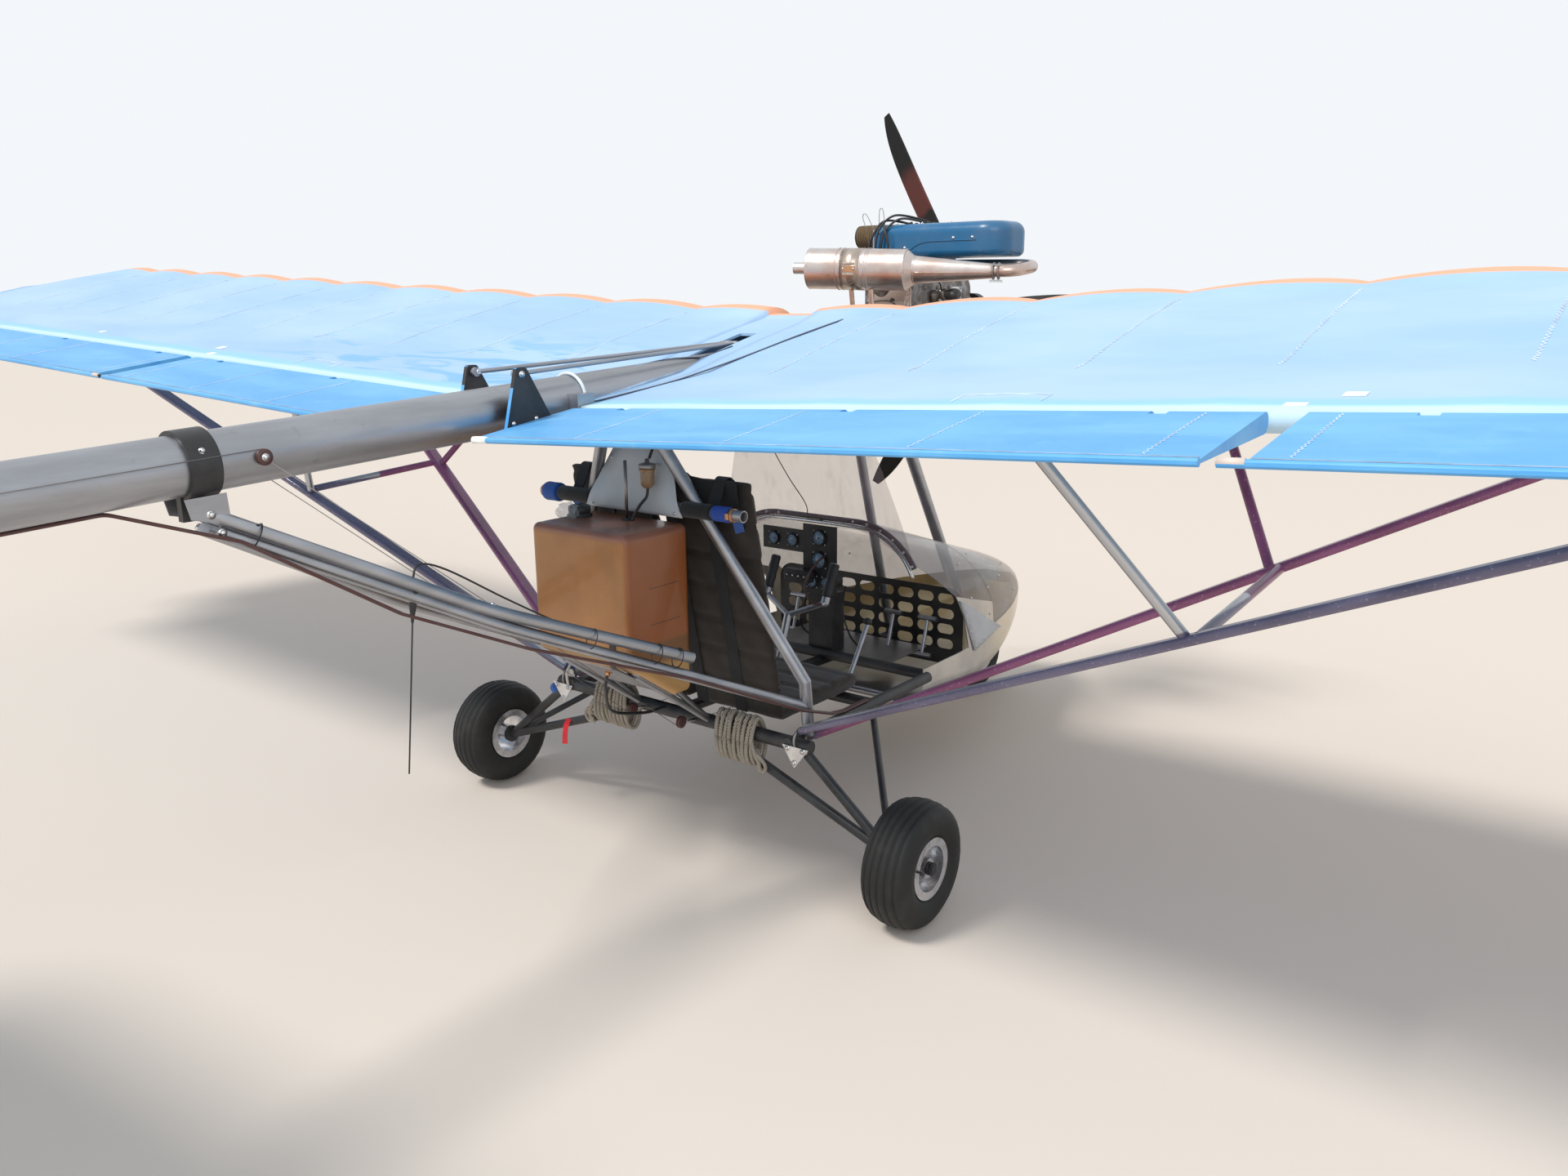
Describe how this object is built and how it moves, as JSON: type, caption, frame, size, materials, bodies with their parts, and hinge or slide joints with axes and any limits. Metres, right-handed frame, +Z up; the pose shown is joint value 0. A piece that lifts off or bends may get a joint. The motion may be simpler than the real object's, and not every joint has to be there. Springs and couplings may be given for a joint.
{
  "type": "ultralight aircraft",
  "caption": "Open two-seat high-wing ultralight aircraft: cloth wing on a single boom, nose pod, tractor engine over the cabin, tricycle gear.",
  "frame": {"origin": "bottom centre of the bounding box, on the ground under the middle of the length", "axes": "+X to the port wing, +Y to the tail, +Z up; the nose points to -Y"},
  "size_m": [10.16, 5.7, 2.4886],
  "materials": {
    "bare_alloy": "satin",
    "black_metal": "satin",
    "cast_alloy": "matte",
    "blue_paint": "gloss",
    "black_plastic": "matte",
    "worn_steel": "satin",
    "pale_panel": "satin",
    "wing_cloth": "satin",
    "strut_paint": "satin",
    "pod_gelcoat": "gloss",
    "tinted_screen": "gloss",
    "seat_cloth": "matte",
    "amber_plastic": "gloss",
    "bungee_cloth": "matte",
    "tail_cloth": "satin",
    "brown_sheath": "matte",
    "polished_alloy": "polished",
    "tyre_rubber": "matte",
    "blade_black": "satin",
    "flap_cloth": "satin"
  },
  "bodies": {
    "airframe": {"boom": "bare_alloy", "boom_clamp": "black_metal", "boom_braces": "bare_alloy", "rear_frame": "bare_alloy", "lower_frame": "black_metal", "front_struts": "bare_alloy", "engine_mount": "black_metal", "engine": "cast_alloy", "gearbox": "cast_alloy", "cooling_scoop": "blue_paint", "air_filter": "black_plastic", "muffler": "worn_steel", "battery_box": "black_plastic", "engine_fairing": "pale_panel", "wing_left": "wing_cloth", "wing_right": "wing_cloth", "centre_cover": "wing_cloth", "wing_brackets": "bare_alloy", "lift_struts": "strut_paint", "pod": "pod_gelcoat", "cowl_window": "tinted_screen", "dash_hoop": "black_metal", "windshield": "tinted_screen", "instrument_panel": "black_plastic", "seats": "seat_cloth", "fuel_tank": "amber_plastic", "tank_tray": "bare_alloy", "rear_panel": "pale_panel", "gear_legs": "black_metal", "bungees": "bungee_cloth", "fin": "tail_cloth", "tailplane": "tail_cloth", "tail_stays": "bare_alloy", "tail_skid": "black_metal", "controls": "bare_alloy", "antenna": "black_plastic", "control_cables": "brown_sheath", "nose_bubble": "tinted_screen", "nose_bulkhead": "black_metal"},
    "wheel_left": {"rim_left": "polished_alloy", "tyre_left": "tyre_rubber"},
    "wheel_right": {"rim_right": "polished_alloy", "tyre_right": "tyre_rubber"},
    "nose_fork": {"nose_fork": "black_metal"},
    "nose_wheel": {"nose_rim": "polished_alloy", "nose_tyre": "tyre_rubber"},
    "propeller": {"propeller": "blade_black"},
    "flap_left": {"flap_left": "flap_cloth"},
    "flap_right": {"flap_right": "flap_cloth"},
    "aileron_left": {"aileron_left": "flap_cloth"},
    "aileron_right": {"aileron_right": "flap_cloth"},
    "elevator": {"elevator": "flap_cloth"},
    "rudder": {"rudder": "flap_cloth"},
    "flap_rods": {"flap_rods": "bare_alloy"}
  },
  "joints": [
    {"name": "wheel_left_spin", "type": "hinge", "parent": "airframe", "child": "wheel_left", "pos_m": [0.895, -0.67, 0.186], "axis": [1, 0, 0], "continuous": true},
    {"name": "wheel_right_spin", "type": "hinge", "parent": "airframe", "child": "wheel_right", "pos_m": [-0.895, -0.67, 0.186], "axis": [1, 0, 0], "continuous": true},
    {"name": "nose_steer", "type": "hinge", "parent": "airframe", "child": "nose_fork", "pos_m": [0, -2.66736, 0.165], "axis": [0, 0.5245, 0.8514], "range_deg": [-20, 20]},
    {"name": "nose_wheel_spin", "type": "hinge", "parent": "nose_fork", "child": "nose_wheel", "pos_m": [0, -2.66736, 0.165], "axis": [1, 0, 0], "continuous": true},
    {"name": "propeller_spin", "type": "hinge", "parent": "airframe", "child": "propeller", "pos_m": [0, -2.53, 1.686], "axis": [0, 1, 0], "continuous": true},
    {"name": "flap_left_hinge", "type": "hinge", "parent": "airframe", "child": "flap_left", "pos_m": [1, -0.2, 1.4842], "axis": [-0.9989, 0, -0.0471], "range_deg": [0, 20]},
    {"name": "flap_right_hinge", "type": "hinge", "parent": "airframe", "child": "flap_right", "pos_m": [-1, -0.2, 1.4842], "axis": [-0.9989, 0, 0.0471], "range_deg": [0, 20]},
    {"name": "flap_rod_swing", "type": "hinge", "parent": "airframe", "child": "flap_rods", "pos_m": [0, -0.97, 1.602], "axis": [-1, 0, 0], "range_deg": [0, 4]},
    {"name": "aileron_left_hinge", "type": "hinge", "parent": "airframe", "child": "aileron_left", "pos_m": [3.3, -0.2, 1.59276], "axis": [-0.9989, 0, -0.0471], "range_deg": [-20, 20]},
    {"name": "aileron_right_hinge", "type": "hinge", "parent": "airframe", "child": "aileron_right", "pos_m": [-3.3, -0.2, 1.59276], "axis": [-0.9989, 0, 0.0471], "range_deg": [-20, 20]},
    {"name": "elevator_hinge", "type": "hinge", "parent": "airframe", "child": "elevator", "pos_m": [0, 2.24442, 1.41823], "axis": [-1, 0, 0], "range_deg": [-25, 20]},
    {"name": "rudder_hinge", "type": "hinge", "parent": "airframe", "child": "rudder", "pos_m": [0, 2.37, 1.5], "axis": [0, 0, 1], "range_deg": [-25, 25]}
  ],
  "couplings": [
    {"joint": "flap_right_hinge", "follows": "flap_left_hinge", "ratio": 1},
    {"joint": "flap_rod_swing", "follows": "flap_left_hinge", "ratio": 0.19},
    {"joint": "aileron_right_hinge", "follows": "aileron_left_hinge", "ratio": -1}
  ]
}
